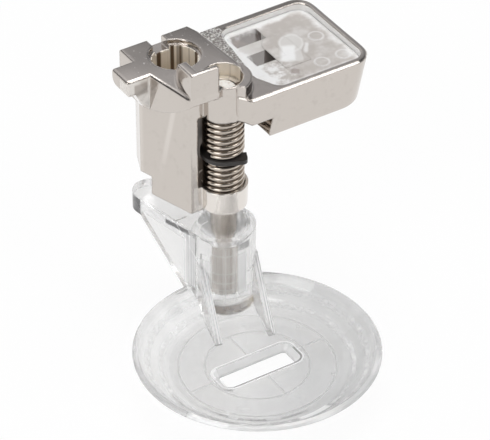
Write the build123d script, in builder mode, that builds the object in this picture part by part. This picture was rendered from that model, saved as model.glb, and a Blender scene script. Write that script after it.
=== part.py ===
"""Sewing machine presser foot with a sprung clear sole.

The origin is the needle point on the underside of the sole. X runs along the needle slot
to the right, Y runs to the back of the machine and Z runs up. All lengths are in millimetres.
"""
import os

from build123d import *

os.makedirs("parts", exist_ok=True)

# Clear sole: saucer and needle slot
disc_r = 15.875
floor_t, floor_r, under_r = 1.1, 10.9, 9.8
rim_bottom, rim_top, rim_round, rim_flat, rim_in = 2.70, 3.93, 0.25, 0.5, 1.2
bowl_sag = 0.4
slot_length, slot_width, slot_corner, slot_flare = 11.0, 3.7, 1.3, 0.75

# Clear sole: post, ribs, guide plate and fin
pin_x, pin_y = 4.0, 14.2
post_r, post_top, post_foot = 4.15, 13.1, 1.9
funnel_r, funnel_depth, funnel_gap = 3.45, 2.3, 0.25
rib_spacing, rib_t, rib_reach, rib_top, rib_turn = 7.1, 0.95, 9.6, 8.8, 15.7
rib_lip, rib_crest = 0.2, 1.65
guide_start, guide_end = (2.05, 13.6), (-0.25, 25.5)
guide_w, guide_t = 4.6, 2.55
fin_t, fin_foot, fin_heel, fin_end = 1.3, 3.2, 3.1, 0.6

# Plunger pin, stop ring and springs
pin_r, spigot_r, pin_bottom, shoulder_h = 1.75, 1.05, 3.0, 1.8
seat_gap, slide_gap = 0.01, 0.05
ring_z, ring_t, ring_r, ring_reach, ring_mouth, ring_turn = 24.6, 0.6, 3.0, 2.75, 2.3, -24
groove_r = 1.3
coil_r, wire_d, ground_in = 2.4, 0.6, 0.12
upper_turns, lower_turns = 6.5, 6.0

# Plated shank: socket head with clamp ears and locating nose
plate_z, edge_round, edge_break = 36.35, 0.4, 0.25
head_left, head_front, head_right, head_back = -3.83, 11.45, 7.1, 25.95
head_depth, head_lip, head_belly = 5.65, 1.05, 1.35
head_heel, head_taper, head_cut, nose_break = 1.2, 0.55, 1.85, 0.6
ear_reach, ear_front, ear_notch, ear_inner, ear_t, ear_round = 7.1, 18.95, 22.85, 4.02, 2.2, 1.2
socket_x, socket_y, socket_r, socket_depth = 1.25, 21.15, 2.90, 9.0
ledge_r, ledge_depth = 3.35, 0.65
key_w, key_depth, key_x = 2.3, 1.2, 0.98
nose_rise, nose_left, nose_w, nose_length, nose_t, nose_wall = 3.6, -2.3, 4.0, 3.15, 1.25, 0.75

# Plated shank: column, pin lugs and arm
column_bottom, column_step, step_y = 16.3, 19.1, 20.8
column_left, column_turn, column_front, column_corner = 4.73, 1.6, 0.24, (-3.3, 22.55)
column_in, column_cut, socket_wall = 0.3, 0.85, 1.0
upper_lug_bottom, upper_lug_top, upper_lug_r, boss_r = 30.7, 36.0, 2.78, 3.65
lower_lug_top, lower_lug_r, lug_draft, lug_round, web_depth = 19.9, 3.15, 1.5, 0.6, 4.5
cup_gap, cup_depth = 0.08, 0.9
well_r, well_depth = 2.48, 1.9
spring_room_r = 3.6
arm_top, arm_bottom, neck_bottom, neck_toe, neck_cut = 34.35, 27.7, 30.6, 0.5, 1.15
arm_left, arm_step, arm_lean, arm_right, arm_front, arm_back = 4.95, 7.85, 1.75, 23.95, 9.7, 26.35
arm_corner, foot_corner, foot_in, foot_round = 2.6, 4.6, 0.45, 0.6
wall, rear_wall, pocket_floor = 0.85, 1.15, 29.1
pocket_left, pocket_slant, pocket_knee = 8.5, 1.6, 4.25

# Clear coded block
block_top, block_gap = 33.45, 0.05
valley_x, valley_length, valley_w, valley_rows = 10.8, 4.4, 2.6, (18.2, 22.9)
tower_x, tower_y, tower_r, tower_length, tower_h = 15.5, 14.5, 1.9, 5.2, 0.4
dot_r, dot_h, dot_spots = 0.95, 0.15, ((20.8, 18.6), (18.25, 13.35), (21.5, 13.35))

pin_axis = Plane((pin_x, pin_y, 0))
rib_frame = pin_axis.rotated((0, 0, -rib_turn))
ring_frame = pin_axis.rotated((0, 0, ring_turn))
guide_run = Vector(*guide_end) - Vector(*guide_start)
guide_frame = Plane((*guide_start, 0), x_dir=guide_run, z_dir=(0, 0, 1))
pin_top = plate_z - well_depth
nose_top = plate_z + nose_rise
funnel_bottom = post_top - funnel_depth
upper_seat = (ring_z + ring_t / 2, upper_lug_bottom)
lower_seat = (lower_lug_top - cup_depth, ring_z - ring_t / 2)

with BuildPart() as sole:
    # Post for the pin, standing over the back of the rim
    with BuildSketch(pin_axis):
        Circle(post_r)
    extrude(amount=post_top)
    # Two ribs that brace the post towards the needle
    for side in (-1, 1):
        rib_root = rib_frame.from_local_coords((side * rib_spacing / 2, 0, 0))
        with BuildSketch(Plane(rib_root, x_dir=-rib_frame.y_dir, z_dir=-rib_frame.x_dir)):
            with BuildLine():
                Polyline((0, 0), (rib_reach, 0), (rib_reach, floor_t + rib_lip), (rib_crest, rib_top),
                         (0, rib_top), close=True)
            make_face()
        extrude(amount=rib_t / 2, both=True)
    # Rear guide plate with a rounded end, and the fin below its left edge
    with BuildSketch(Plane.XY.offset(post_top)):
        SlotCenterPoint((Vector(*guide_start) + Vector(*guide_end)) / 2, guide_end, guide_w)
    extrude(amount=-guide_t)
    fin_root = guide_frame.from_local_coords((0, guide_w / 2, 0))
    with BuildSketch(Plane(fin_root, x_dir=guide_run, z_dir=-guide_frame.y_dir)):
        with BuildLine():
            Polyline((0, post_foot), (fin_foot, fin_heel),
                     (guide_run.length - fin_end, post_top - guide_t), (0, post_top - guide_t), close=True)
        make_face()
    extrude(amount=fin_t)
    # Over the saucer everything above ends inside its wall, behind it at the foot of the post
    with BuildSketch(Plane.XZ):
        with BuildLine():
            sunk = floor_t / 2
            wall_end = (disc_r - rim_in, rim_bottom)
            wall_mid = ((under_r + disc_r) / 2, sunk + bowl_sag * (rim_bottom - sunk))
            ThreePointArc((under_r, sunk), wall_mid, wall_end)
            Polyline(wall_end, (wall_end[0], post_foot), (2 * disc_r, post_foot), (2 * disc_r, -1), (0, -1),
                     (0, sunk), (under_r, sunk))
        make_face()
    revolve(axis=Axis.Z, mode=Mode.SUBTRACT)
    # Saucer
    with BuildSketch(Plane.XZ):
        with BuildLine():
            lip = (disc_r - rim_round - rim_flat, rim_top)
            Polyline((0, floor_t), (0, 0), (under_r, 0))
            edge_in = (disc_r - rim_round, rim_bottom - rim_round / 2)
            ThreePointArc((under_r, 0), ((under_r + disc_r) / 2, rim_bottom * bowl_sag), edge_in)
            Polyline(edge_in, (disc_r, rim_bottom + rim_round / 2), (disc_r, rim_top - rim_round),
                     (disc_r - rim_round, rim_top), lip)
            ThreePointArc(lip, ((floor_r + disc_r) / 2, floor_t + bowl_sag * (rim_top - floor_t)),
                          (floor_r, floor_t))
            Line((floor_r, floor_t), (0, floor_t))
        make_face()
    revolve(axis=Axis.Z)
    # Funnel at the top of the post and the seat of the pin's spigot
    with Locations((pin_x, pin_y, post_top)):
        Cone(spigot_r + funnel_gap, funnel_r, funnel_depth, mode=Mode.SUBTRACT,
             align=(Align.CENTER, Align.CENTER, Align.MAX))
    with Locations((pin_x, pin_y, post_top)):
        Hole(spigot_r + seat_gap, post_top - pin_bottom)
    # Needle slot with a flared upper edge
    with BuildSketch():
        RectangleRounded(slot_length, slot_width, slot_corner)
    extrude(amount=floor_t, mode=Mode.SUBTRACT)
    with BuildSketch(Plane.XY.offset(floor_t)):
        RectangleRounded(slot_length + 2 * slot_flare, slot_width + 2 * slot_flare, slot_corner + slot_flare)
    extrude(amount=-slot_flare, taper=45, mode=Mode.SUBTRACT)

with BuildPart() as plunger_pin:
    # Turned profile: spigot, conical shoulder, guide length and the groove of the stop ring
    with BuildSketch(Plane((pin_x, pin_y, 0), x_dir=(1, 0, 0), z_dir=(0, -1, 0))):
        with BuildLine():
            groove_low, groove_high = lower_seat[1] - seat_gap, upper_seat[0] + seat_gap
            Polyline((0, pin_bottom), (spigot_r - edge_break, pin_bottom),
                     (spigot_r, pin_bottom + edge_break), (spigot_r, funnel_bottom),
                     (pin_r, funnel_bottom + shoulder_h), (pin_r, groove_low), (groove_r, groove_low),
                     (groove_r, groove_high), (pin_r, groove_high), (pin_r, pin_top - edge_break),
                     (pin_r - edge_break, pin_top), (0, pin_top), close=True)
        make_face()
    revolve(axis=Axis((pin_x, pin_y, 0), (0, 0, 1)))

with BuildPart() as stop_ring:
    # Horseshoe clip, pushed into the groove from the side
    with BuildSketch(ring_frame.offset(lower_seat[1])) as ring_plan:
        Circle(ring_r)
        Rectangle(ring_reach, 2 * ring_r, align=(Align.MIN, Align.CENTER))
        fillet(ring_plan.vertices().group_by(SortBy.DISTANCE)[-1], (2 * ring_r - ring_mouth) / 5)
        Circle(groove_r + seat_gap, mode=Mode.SUBTRACT)
        Rectangle(2 * ring_r, ring_mouth, align=(Align.MIN, Align.CENTER), mode=Mode.SUBTRACT)
    extrude(amount=ring_t)

with BuildPart() as upper_spring:
    rise = upper_seat[1] - upper_seat[0] - 2 * ground_in
    with BuildLine(pin_axis.offset(upper_seat[0] + ground_in)):
        path = Helix(rise / upper_turns, rise, coil_r)
    with BuildSketch(Plane(path @ 0, z_dir=path % 0)):
        RegularPolygon(wire_d / 2, 6)
    sweep()
    split(bisect_by=Plane.XY.offset(upper_seat[0]), keep=Keep.TOP)
    split(bisect_by=Plane.XY.offset(upper_seat[1]), keep=Keep.BOTTOM)

with BuildPart() as lower_spring:
    rise = lower_seat[1] - lower_seat[0] - 2 * ground_in
    with BuildLine(pin_axis.offset(lower_seat[0] + ground_in)):
        path = Helix(rise / lower_turns, rise, coil_r)
    with BuildSketch(Plane(path @ 0, z_dir=path % 0)):
        RegularPolygon(wire_d / 2, 6)
    sweep()
    split(bisect_by=Plane.XY.offset(lower_seat[0]), keep=Keep.TOP)
    split(bisect_by=Plane.XY.offset(lower_seat[1]), keep=Keep.BOTTOM)


def pocket_plan(height, inset):
    """Outline of the arm's pocket at a height, drawn in by the gap of the piece that fills it."""
    sink = (arm_top - height) / (arm_top - arm_bottom)
    edge = wall + inset
    right, front, back = arm_right - foot_in * sink - edge, arm_front + edge, arm_back - rear_wall - inset
    left, slant = pocket_left + arm_lean * sink + inset, pocket_slant
    with BuildSketch(Plane.XY.offset(height), mode=Mode.PRIVATE) as plan:
        with BuildLine():
            Polyline((left + slant, back), (right, back), (right, front), (left + slant, front),
                     (left, arm_front + pocket_knee), close=True)
        make_face()
        fillet(plan.vertices().group_by(Axis.X)[-1], arm_corner + (foot_corner - arm_corner) * sink - edge)
        fillet(plan.vertices().group_by(Axis.X)[:2], arm_corner - edge)
    return plan.sketch


with BuildPart() as nose:
    # Upstand of the shank: an angled wall, with a ramp from its bar down to the socket
    with BuildSketch(Plane.XY.offset(plate_z - head_lip)):
        with BuildLine():
            ramp_end = (socket_x - ledge_r / 2, socket_y - ledge_r)
            bar_back = (nose_left, head_front + nose_length)
            bar_front = (nose_left + nose_t, head_front + nose_wall)
            Polyline(bar_back, (nose_left, head_front), (nose_left + nose_w, head_front),
                     (nose_left + nose_w, head_front + nose_wall), bar_front,
                     (nose_left + nose_t, bar_back[1]), ramp_end)
            ThreePointArc(ramp_end, (nose_left + nose_t / 2, (bar_back[1] + ramp_end[1]) / 2), bar_back)
        make_face()
    extrude(amount=nose_top - plate_z + head_lip)
    with BuildSketch(Plane.YZ.offset(nose_left - nose_t)):
        with BuildLine():
            Polyline((bar_back[1], nose_top), (ramp_end[1] + nose_t, nose_top), (ramp_end[1] + nose_t, plate_z),
                     (ramp_end[1], plate_z), close=True)
        make_face()
    extrude(amount=2 * nose_w, mode=Mode.SUBTRACT)
    fillet(nose.faces().sort_by(Axis.Z)[-1].edges(), edge_break)

with BuildPart() as arm:
    # Neck beside the upper lug
    with BuildSketch(Plane.XY.offset(arm_top)) as neck_plan:
        with BuildLine():
            neck_right = pocket_left + pocket_slant
            Polyline((pin_x, pin_y), (arm_left - neck_toe, arm_front + 1.5 * neck_cut),
                     (arm_left, arm_front + neck_cut), (arm_left + neck_toe, arm_front),
                     (neck_right, arm_front), (neck_right, arm_back),
                     (head_right - 2 * head_taper, arm_back), close=True)
        make_face()
    extrude(amount=neck_bottom - arm_top)
    # Tray that runs from the rim's outline to a smaller foot with rounder corners
    with BuildSketch(Plane.XY.offset(arm_top)) as rim_plan:
        with Locations((arm_step + arm_lean, arm_front)):
            Rectangle(arm_right - arm_step - arm_lean, arm_back - arm_front, align=(Align.MIN, Align.MIN))
        fillet(rim_plan.vertices().group_by(Axis.X)[-1], arm_corner)
    with BuildSketch(Plane.XY.offset(arm_bottom)) as foot_plan:
        with Locations((arm_step, arm_front)):
            Rectangle(arm_right - foot_in - arm_step, arm_back - arm_front, align=(Align.MIN, Align.MIN))
        fillet(foot_plan.vertices().group_by(Axis.X)[-1], foot_corner)
    loft(ruled=True)
    fillet(arm.faces().sort_by(Axis.Z)[0].edges(), foot_round)
    chamfer(arm.faces().sort_by(Axis.Z)[-1].outer_wire().edges(), edge_break)
    loft(sections=(pocket_plan(pocket_floor, 0), pocket_plan(arm_top, 0)), ruled=True, mode=Mode.SUBTRACT)
    # Boss that rises from the neck around the well
    with BuildSketch(Plane.XY.offset(arm_top)):
        add(neck_plan.sketch)
        with Locations((pin_x, pin_y)):
            Circle(boss_r, mode=Mode.INTERSECT)
    extrude(amount=upper_lug_top - arm_top)

with BuildPart() as ear:
    # Front clamp ear: a finger with a rounded lower edge at the back, on a sloped web
    with BuildSketch(Plane.YZ.offset(-ear_reach)) as finger:
        with Locations((ear_front, plate_z)):
            Rectangle(ear_notch - ear_front, ear_t, align=(Align.MIN, Align.MAX))
        fillet(finger.vertices().group_by(Axis.Y)[0].sort_by(Axis.X)[-1], ear_round)
    extrude(amount=ear_reach)
    fillet(ear.faces().sort_by(Axis.X)[0].edges().sort_by(Axis.Z)[:3], edge_round)
    with BuildSketch(Plane.XZ.offset(-ear_front)):
        with BuildLine():
            Polyline((-ear_reach + ear_round, plate_z - ear_t), (-ear_inner, plate_z - head_depth),
                     (0, plate_z - head_depth), (0, plate_z - ear_t), close=True)
        make_face()
    extrude(amount=ear_front - ear_notch + ear_round)

with BuildPart() as cup_lug:
    # Lower lug, drafted towards its rounded foot, and the web that ties it to the column
    lug_fall = column_bottom - lower_lug_top
    with BuildSketch(pin_axis.offset(lower_lug_top)):
        Circle(lower_lug_r)
    extrude(amount=lug_fall, taper=lug_draft)
    fillet(cup_lug.faces().sort_by(Axis.Z)[0].edges(), lug_round)
    with BuildSketch(pin_axis.offset(lower_lug_top)):
        with Locations((-lower_lug_r / 2, column_front)):
            Rectangle(2 * lower_lug_r, web_depth, align=(Align.CENTER, Align.MIN))
    extrude(amount=lug_fall)

with BuildPart() as shank:
    # Socket head: plan outline, with the underside rising towards the front
    with BuildSketch(Plane.XY.offset(plate_z)):
        with BuildLine():
            Polyline((head_left, ear_front), (nose_left - nose_break / 2, head_front + nose_break),
                     (nose_left, head_front), (nose_left + nose_w, head_front), (pin_x + upper_lug_r, pin_y),
                     (head_right, pin_y + head_heel), (head_right - head_taper, head_back - head_cut),
                     (head_right - 2 * head_taper, head_back), (-ear_inner, head_back),
                     (-ear_inner, ear_front), close=True)
        make_face()
    extrude(amount=-head_depth)
    with BuildSketch(Plane.YZ.offset(-ear_reach)):
        with BuildLine():
            low = plate_z - head_depth
            Polyline((head_front, plate_z - head_lip), (head_front, plate_z), (head_back, plate_z),
                     (head_back, low), (socket_y, low))
            ThreePointArc((socket_y, low), (0.5 * (socket_y + head_front), low + head_belly),
                          (head_front, plate_z - head_lip))
        make_face()
    extrude(amount=3 * ear_reach, mode=Mode.INTERSECT)
    add(ear.part)
    fillet(shank.faces().sort_by(Axis.Z)[-1].outer_wire().edges(), edge_round)
    # Column under the head, its rear part ending on a step
    with BuildSketch(Plane.XY.offset(column_bottom)):
        with BuildLine():
            column_back, column_right = head_back - column_in, socket_x + socket_r + socket_wall
            Polyline((pin_x - column_left, pin_y + column_front), (pin_x - column_turn, pin_y + column_front),
                     (column_right, socket_y - ledge_r), (column_right, column_back - column_cut),
                     (column_right - column_cut, column_back), (-ear_inner / 2, column_back), column_corner,
                     close=True)
        make_face()
    extrude(amount=plate_z - ear_t - column_bottom)
    with BuildSketch(Plane.XY.offset(column_bottom)):
        with Locations((socket_x, step_y)):
            Rectangle(4 * socket_r, head_back, align=(Align.CENTER, Align.MIN))
    extrude(amount=column_step - column_bottom, mode=Mode.SUBTRACT)
    # Room for the springs, with the two lugs above and below it
    with BuildSketch(pin_axis.offset(column_bottom)):
        Circle(spring_room_r)
    extrude(amount=upper_lug_bottom - column_bottom, mode=Mode.SUBTRACT)
    add(cup_lug.part)
    with BuildSketch(pin_axis.offset(upper_lug_bottom)):
        Circle(upper_lug_r)
        with Locations((-upper_lug_r / 2, column_front)):
            Rectangle(2 * upper_lug_r, web_depth, align=(Align.CENTER, Align.MIN))
    extrude(amount=upper_lug_top - upper_lug_bottom)
    add(nose.part)
    add(arm.part)
    # Socket for the presser bar, its ledge and the key slot at the back
    with Locations((socket_x, socket_y, plate_z)):
        CounterBoreHole(socket_r, ledge_r, ledge_depth, socket_depth)
    with Locations((key_x, socket_y, plate_z)):
        Box(key_w, head_back, key_depth, mode=Mode.SUBTRACT, align=(Align.CENTER, Align.MIN, Align.MAX))
    # Bores for the pin, the well at its top end and the cup of the lower spring
    with Locations((pin_x, pin_y, plate_z)):
        CounterBoreHole(pin_r + slide_gap, well_r, well_depth, plate_z - column_bottom)
    with Locations((pin_x, pin_y, lower_lug_top)):
        Hole(coil_r + wire_d / 2 + cup_gap, cup_depth)

with BuildPart() as coded_block:
    loft(sections=(pocket_plan(pocket_floor, block_gap), pocket_plan(block_top, block_gap)), ruled=True)
    # Two prism valleys along the left side
    for row in valley_rows:
        with BuildSketch(Plane.YZ.offset(valley_x)):
            with BuildLine():
                Polyline((row - valley_w / 2, block_top), (row, block_top - valley_w / 2),
                         (row + valley_w / 2, block_top), close=True)
            make_face()
        extrude(amount=valley_length, mode=Mode.SUBTRACT)
    # Code tower with a rounded back, and the raised code dots
    with BuildSketch(Plane.XY.offset(block_top)):
        with Locations((tower_x, tower_y)):
            Rectangle(2 * tower_r, tower_length, align=(Align.CENTER, Align.MIN))
        with Locations((tower_x, tower_y + tower_length)):
            Circle(tower_r)
    extrude(amount=tower_h)
    with BuildSketch(Plane.XY.offset(block_top)):
        with Locations(*dot_spots):
            Circle(dot_r)
    extrude(amount=dot_h)

for name, piece in (("sole", sole), ("plunger_pin", plunger_pin), ("stop_ring", stop_ring),
                    ("upper_spring", upper_spring), ("lower_spring", lower_spring), ("shank", shank),
                    ("coded_block", coded_block)):
    piece.part.label = name
    export_step(piece.part, f"parts/{name}.step")
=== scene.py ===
"""Studio scene of a sewing machine presser foot with a sprung clear sole.

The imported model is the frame: metres, Z up, origin at the needle point under the sole, X along the needle slot.
The finishes give their places in millimetres in that frame.
"""
from __future__ import annotations

import logging
import math
from dataclasses import dataclass
from enum import Enum
from typing import Any, Callable, Mapping, NamedTuple, Optional, Sequence, Union

import bpy
import numpy as np
from mathutils import Matrix, Vector

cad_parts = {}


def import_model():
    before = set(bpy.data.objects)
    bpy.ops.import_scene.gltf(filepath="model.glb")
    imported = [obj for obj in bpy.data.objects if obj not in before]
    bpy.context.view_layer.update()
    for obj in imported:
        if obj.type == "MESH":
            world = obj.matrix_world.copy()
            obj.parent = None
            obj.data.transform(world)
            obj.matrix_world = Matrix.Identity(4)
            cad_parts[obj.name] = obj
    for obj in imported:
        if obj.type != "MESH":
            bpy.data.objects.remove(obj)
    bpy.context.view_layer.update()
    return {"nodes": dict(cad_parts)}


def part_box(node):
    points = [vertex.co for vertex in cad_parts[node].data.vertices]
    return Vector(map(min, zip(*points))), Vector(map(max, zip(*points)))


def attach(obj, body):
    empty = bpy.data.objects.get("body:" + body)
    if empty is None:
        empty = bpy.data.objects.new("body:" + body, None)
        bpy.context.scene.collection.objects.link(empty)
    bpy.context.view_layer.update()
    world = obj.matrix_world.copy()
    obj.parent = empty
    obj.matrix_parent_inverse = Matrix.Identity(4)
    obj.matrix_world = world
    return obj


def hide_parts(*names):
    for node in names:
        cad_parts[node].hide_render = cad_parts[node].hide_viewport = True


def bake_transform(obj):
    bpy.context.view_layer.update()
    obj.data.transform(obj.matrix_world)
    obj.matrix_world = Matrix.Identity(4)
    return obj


LOG = logging.getLogger("presser_foot")
MM = 0.001
Colour = tuple[float, float, float, float]
Point = tuple[float, float, float]
Spot = tuple[float, float]
Range = tuple[float, float]
Box = tuple[Range, Range]
Room = tuple[Range, Range, Range]
Value = Union["Shade", float]
Tone = Union["Shade", Colour]

# Digits in metres to which equal corners are joined, and the crease angle in degrees of surfaces made here
WELD_DIGITS = 7
GRID_CREASE = 50.0
# Places that several pieces or finishes share, in millimetres
NEEDLE: Spot = (0.0, 0.0)
PIN_AXIS: Spot = (4.0, 14.2)
SPIGOT_TOP = 10.85
BLOCK_TOP = 33.45
# Needle slot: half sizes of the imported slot, the share of them that the dressed slot keeps, and its corner radius
SLOT_HALF: Range = (5.5, 1.85)
SLOT_DRAW: Range = (0.92, 0.8)
SLOT_ROUND = 0.6


class Body(str, Enum):
    """The two rigid bodies of the foot."""

    SHANK = "shank_body"
    SOLE = "sole_body"


class Slot(str, Enum):
    """Material slots of the record."""

    PLATE = "plated_metal"
    BLOCK = "clear_block"
    PIN = "pin_steel"
    SPRING = "spring_steel"
    CLIP = "black_clip"
    SOLE = "clear_sole"


class Shade:
    """One output socket, with arithmetic that adds Math nodes."""

    def __init__(self, graph: Graph, socket: bpy.types.NodeSocket) -> None:
        """Keeps the graph and the socket."""
        self.graph = graph
        self.socket = socket

    def _math(self, operation: str, *values: Value) -> Shade:
        """Adds one Math node with its operands in order."""
        return self.graph.node("ShaderNodeMath", {"operation": operation}, dict(enumerate(values)))

    def __add__(self, other: Value) -> Shade:
        """Sum."""
        return self._math("ADD", self, other)

    __radd__ = __add__

    def __sub__(self, other: Value) -> Shade:
        """Difference."""
        return self._math("SUBTRACT", self, other)

    def __rsub__(self, other: float) -> Shade:
        """Difference from a number."""
        return self._math("SUBTRACT", other, self)

    def __mul__(self, other: Value) -> Shade:
        """Product."""
        return self._math("MULTIPLY", self, other)

    __rmul__ = __mul__

    def __truediv__(self, other: Value) -> Shade:
        """Quotient."""
        return self._math("DIVIDE", self, other)

    def __rtruediv__(self, other: float) -> Shade:
        """A number divided by this."""
        return self._math("DIVIDE", other, self)

    def __abs__(self) -> Shade:
        """Absolute value."""
        return self._math("ABSOLUTE", self)

    def __or__(self, other: Shade) -> Shade:
        """The larger of two masks."""
        return self._math("MAXIMUM", self, other)

    def __and__(self, other: Shade) -> Shade:
        """The smaller of two masks."""
        return self._math("MINIMUM", self, other)

    def __gt__(self, other: Value) -> Shade:
        """1 where this is greater."""
        return self._math("GREATER_THAN", self, other)

    def __lt__(self, other: Value) -> Shade:
        """1 where this is less."""
        return self._math("LESS_THAN", self, other)

    def root(self) -> Shade:
        """Square root."""
        return self._math("SQRT", self)

    def above_zero(self) -> Shade:
        """The value where it is positive, else 0."""
        return (self + abs(self)) * 0.5

    def within(self, limits: Range) -> Shade:
        """1 between two limits."""
        return (self > limits[0]) & (self < limits[1])

    def near(self, value: float, reach: float) -> Shade:
        """1 within a reach of a value."""
        return abs(self - value) < reach

    def ease(self, limits: Range) -> Shade:
        """Smooth step from 0 at the first limit to 1 at the second.

        Args:
            limits: Values at which the step starts and ends.

        Returns:
            The step.
        """
        return self.graph.node(
            "ShaderNodeMapRange",
            {"interpolation_type": "SMOOTHSTEP"},
            {"Value": self, "From Min": limits[0], "From Max": limits[1]},
        )

    def fade(self, limits: Range) -> Shade:
        """Smooth step from 1 at the first limit to 0 at the second."""
        return 1.0 - self.ease(limits)

    def band(self, limits: Range, soft: float) -> Shade:
        """Mask of 1 between two limits that fades out over a width outside them."""
        return self.ease((limits[0] - soft, limits[0])) * self.fade((limits[1], limits[1] + soft))


class Coat(NamedTuple):
    """A tone that is laid over another one where its mask is."""

    mask: Shade
    colour: Tone
    strength: float = 1.0


class Graph:
    """A node tree that is filled by one method."""

    def __init__(self, tree: bpy.types.NodeTree) -> None:
        """Clears the tree.

        Args:
            tree: Node tree of a material or of the world.
        """
        self.tree = tree
        self.axes: Optional[tuple[Shade, Shade, Shade]] = None
        tree.nodes.clear()

    def node(
        self,
        kind: str,
        settings: Optional[Mapping[str, Any]] = None,
        inputs: Optional[Mapping[Union[str, int], Any]] = None,
        output: Union[str, int] = 0,
    ) -> Shade:
        """Adds one node.

        Args:
            kind: Blender's name of the node type.
            settings: Properties set first; stops fills a colour ramp with (place, colour) pairs.
            inputs: Values or shades by socket name or number.
            output: The output socket that is returned.

        Returns:
            The chosen output.
        """
        made = self.tree.nodes.new(kind)
        for key, value in (settings or {}).items():
            if key == "stops":
                ramp = made.color_ramp.elements
                while len(ramp) < len(value):
                    ramp.new(0.5)
                for stop, (place, colour) in zip(ramp, value):
                    stop.position, stop.color = place, colour
            else:
                setattr(made, key, value)
        for key, value in (inputs or {}).items():
            if isinstance(value, Shade):
                self.tree.links.new(value.socket, made.inputs[key])
            else:
                made.inputs[key].default_value = value
        return Shade(self, made.outputs[output] if len(made.outputs) else None)

    def place(self) -> tuple[Shade, Shade, Shade]:
        """Object coordinates in millimetres, as three values that are made once.

        Returns:
            The values of x, y and z.
        """
        if self.axes is None:
            point = self.node("ShaderNodeTexCoord", output="Object")
            x, y, z = (self.node("ShaderNodeSeparateXYZ", None, {0: point}, axis) / MM for axis in "XYZ")
            self.axes = (x, y, z)
        return self.axes

    def noise(
        self, scale: float, detail: float = 3.0, rough: float = 0.5, stretch: Optional[Point] = None
    ) -> Shade:
        """Noise on Object coordinates.

        Args:
            scale: Cells per metre.
            detail: Number of finer layers.
            rough: Share that each finer layer keeps.
            stretch: Factor on each coordinate, if the noise is to be drawn out.

        Returns:
            The noise, from 0 to 1.
        """
        point = self.node("ShaderNodeTexCoord", output="Object")
        if stretch is not None:
            point = self.node("ShaderNodeVectorMath", {"operation": "MULTIPLY"}, {0: point, 1: stretch})
        inputs = {"Vector": point, "Scale": scale, "Detail": detail, "Roughness": rough}
        return self.node("ShaderNodeTexNoise", None, inputs)

    def lines(self, along: Shade, detail: float) -> Shade:
        """Noise that changes along one value only."""
        return self.node("ShaderNodeTexNoise", {"noise_dimensions": "1D"}, {"W": along, "Detail": detail})

    def around(self, centre: Spot) -> tuple[Shade, Shade]:
        """Distance in millimetres and angle in radians about a vertical axis.

        Args:
            centre: The axis's place in x and y.

        Returns:
            The distance and the angle.
        """
        x, y, _ = self.place()
        off_x, off_y = x - centre[0], y - centre[1]
        angle = self.node("ShaderNodeMath", {"operation": "ARCTAN2"}, {0: off_y, 1: off_x})
        return (off_x * off_x + off_y * off_y).root(), angle

    def relief(self, height: Shade, depth: float, edge: float) -> Shade:
        """Normal of a height field of some depth, over edges rounded to some radius, both in metres."""
        edges = self.node("ShaderNodeBevel", {"samples": 6}, {"Radius": edge})
        return self.node("ShaderNodeBump", None, {"Height": height, "Distance": depth, "Normal": edges})

    def mix(self, factor: Shade, low: Tone, high: Tone) -> Shade:
        """Colour between low and high."""
        return self.node("ShaderNodeMix", {"data_type": "RGBA"}, {0: factor, 6: low, 7: high}, 2)

    def coats(self, base: Tone, *coats: Coat) -> Shade:
        """Lays tones over a base.

        Args:
            base: The colour underneath.
            coats: What is laid over it, in order.

        Returns:
            The colour on top.
        """
        tone = base
        for coat in coats:
            share = coat.mask if coat.strength == 1.0 else coat.mask * coat.strength
            tone = self.mix(share, tone, coat.colour)
        return tone

    def principled(self, inputs: Mapping[str, Any]) -> Shade:
        """Principled shader."""
        return self.node("ShaderNodeBsdfPrincipled", None, inputs)


@dataclass(frozen=True)
class Finish:
    """A finish that becomes one material."""

    name: str

    def shader(self, graph: Graph) -> Shade:
        """Shader of the finish, which each kind of finish makes."""
        raise NotImplementedError

    def material(self) -> bpy.types.Material:
        """Makes the material and fills its node tree.

        Returns:
            The material.
        """
        material = bpy.data.materials.new(self.name)
        material.use_nodes = True
        graph = Graph(material.node_tree)
        graph.node("ShaderNodeOutputMaterial", None, {"Surface": self.shader(graph)})
        return material


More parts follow.
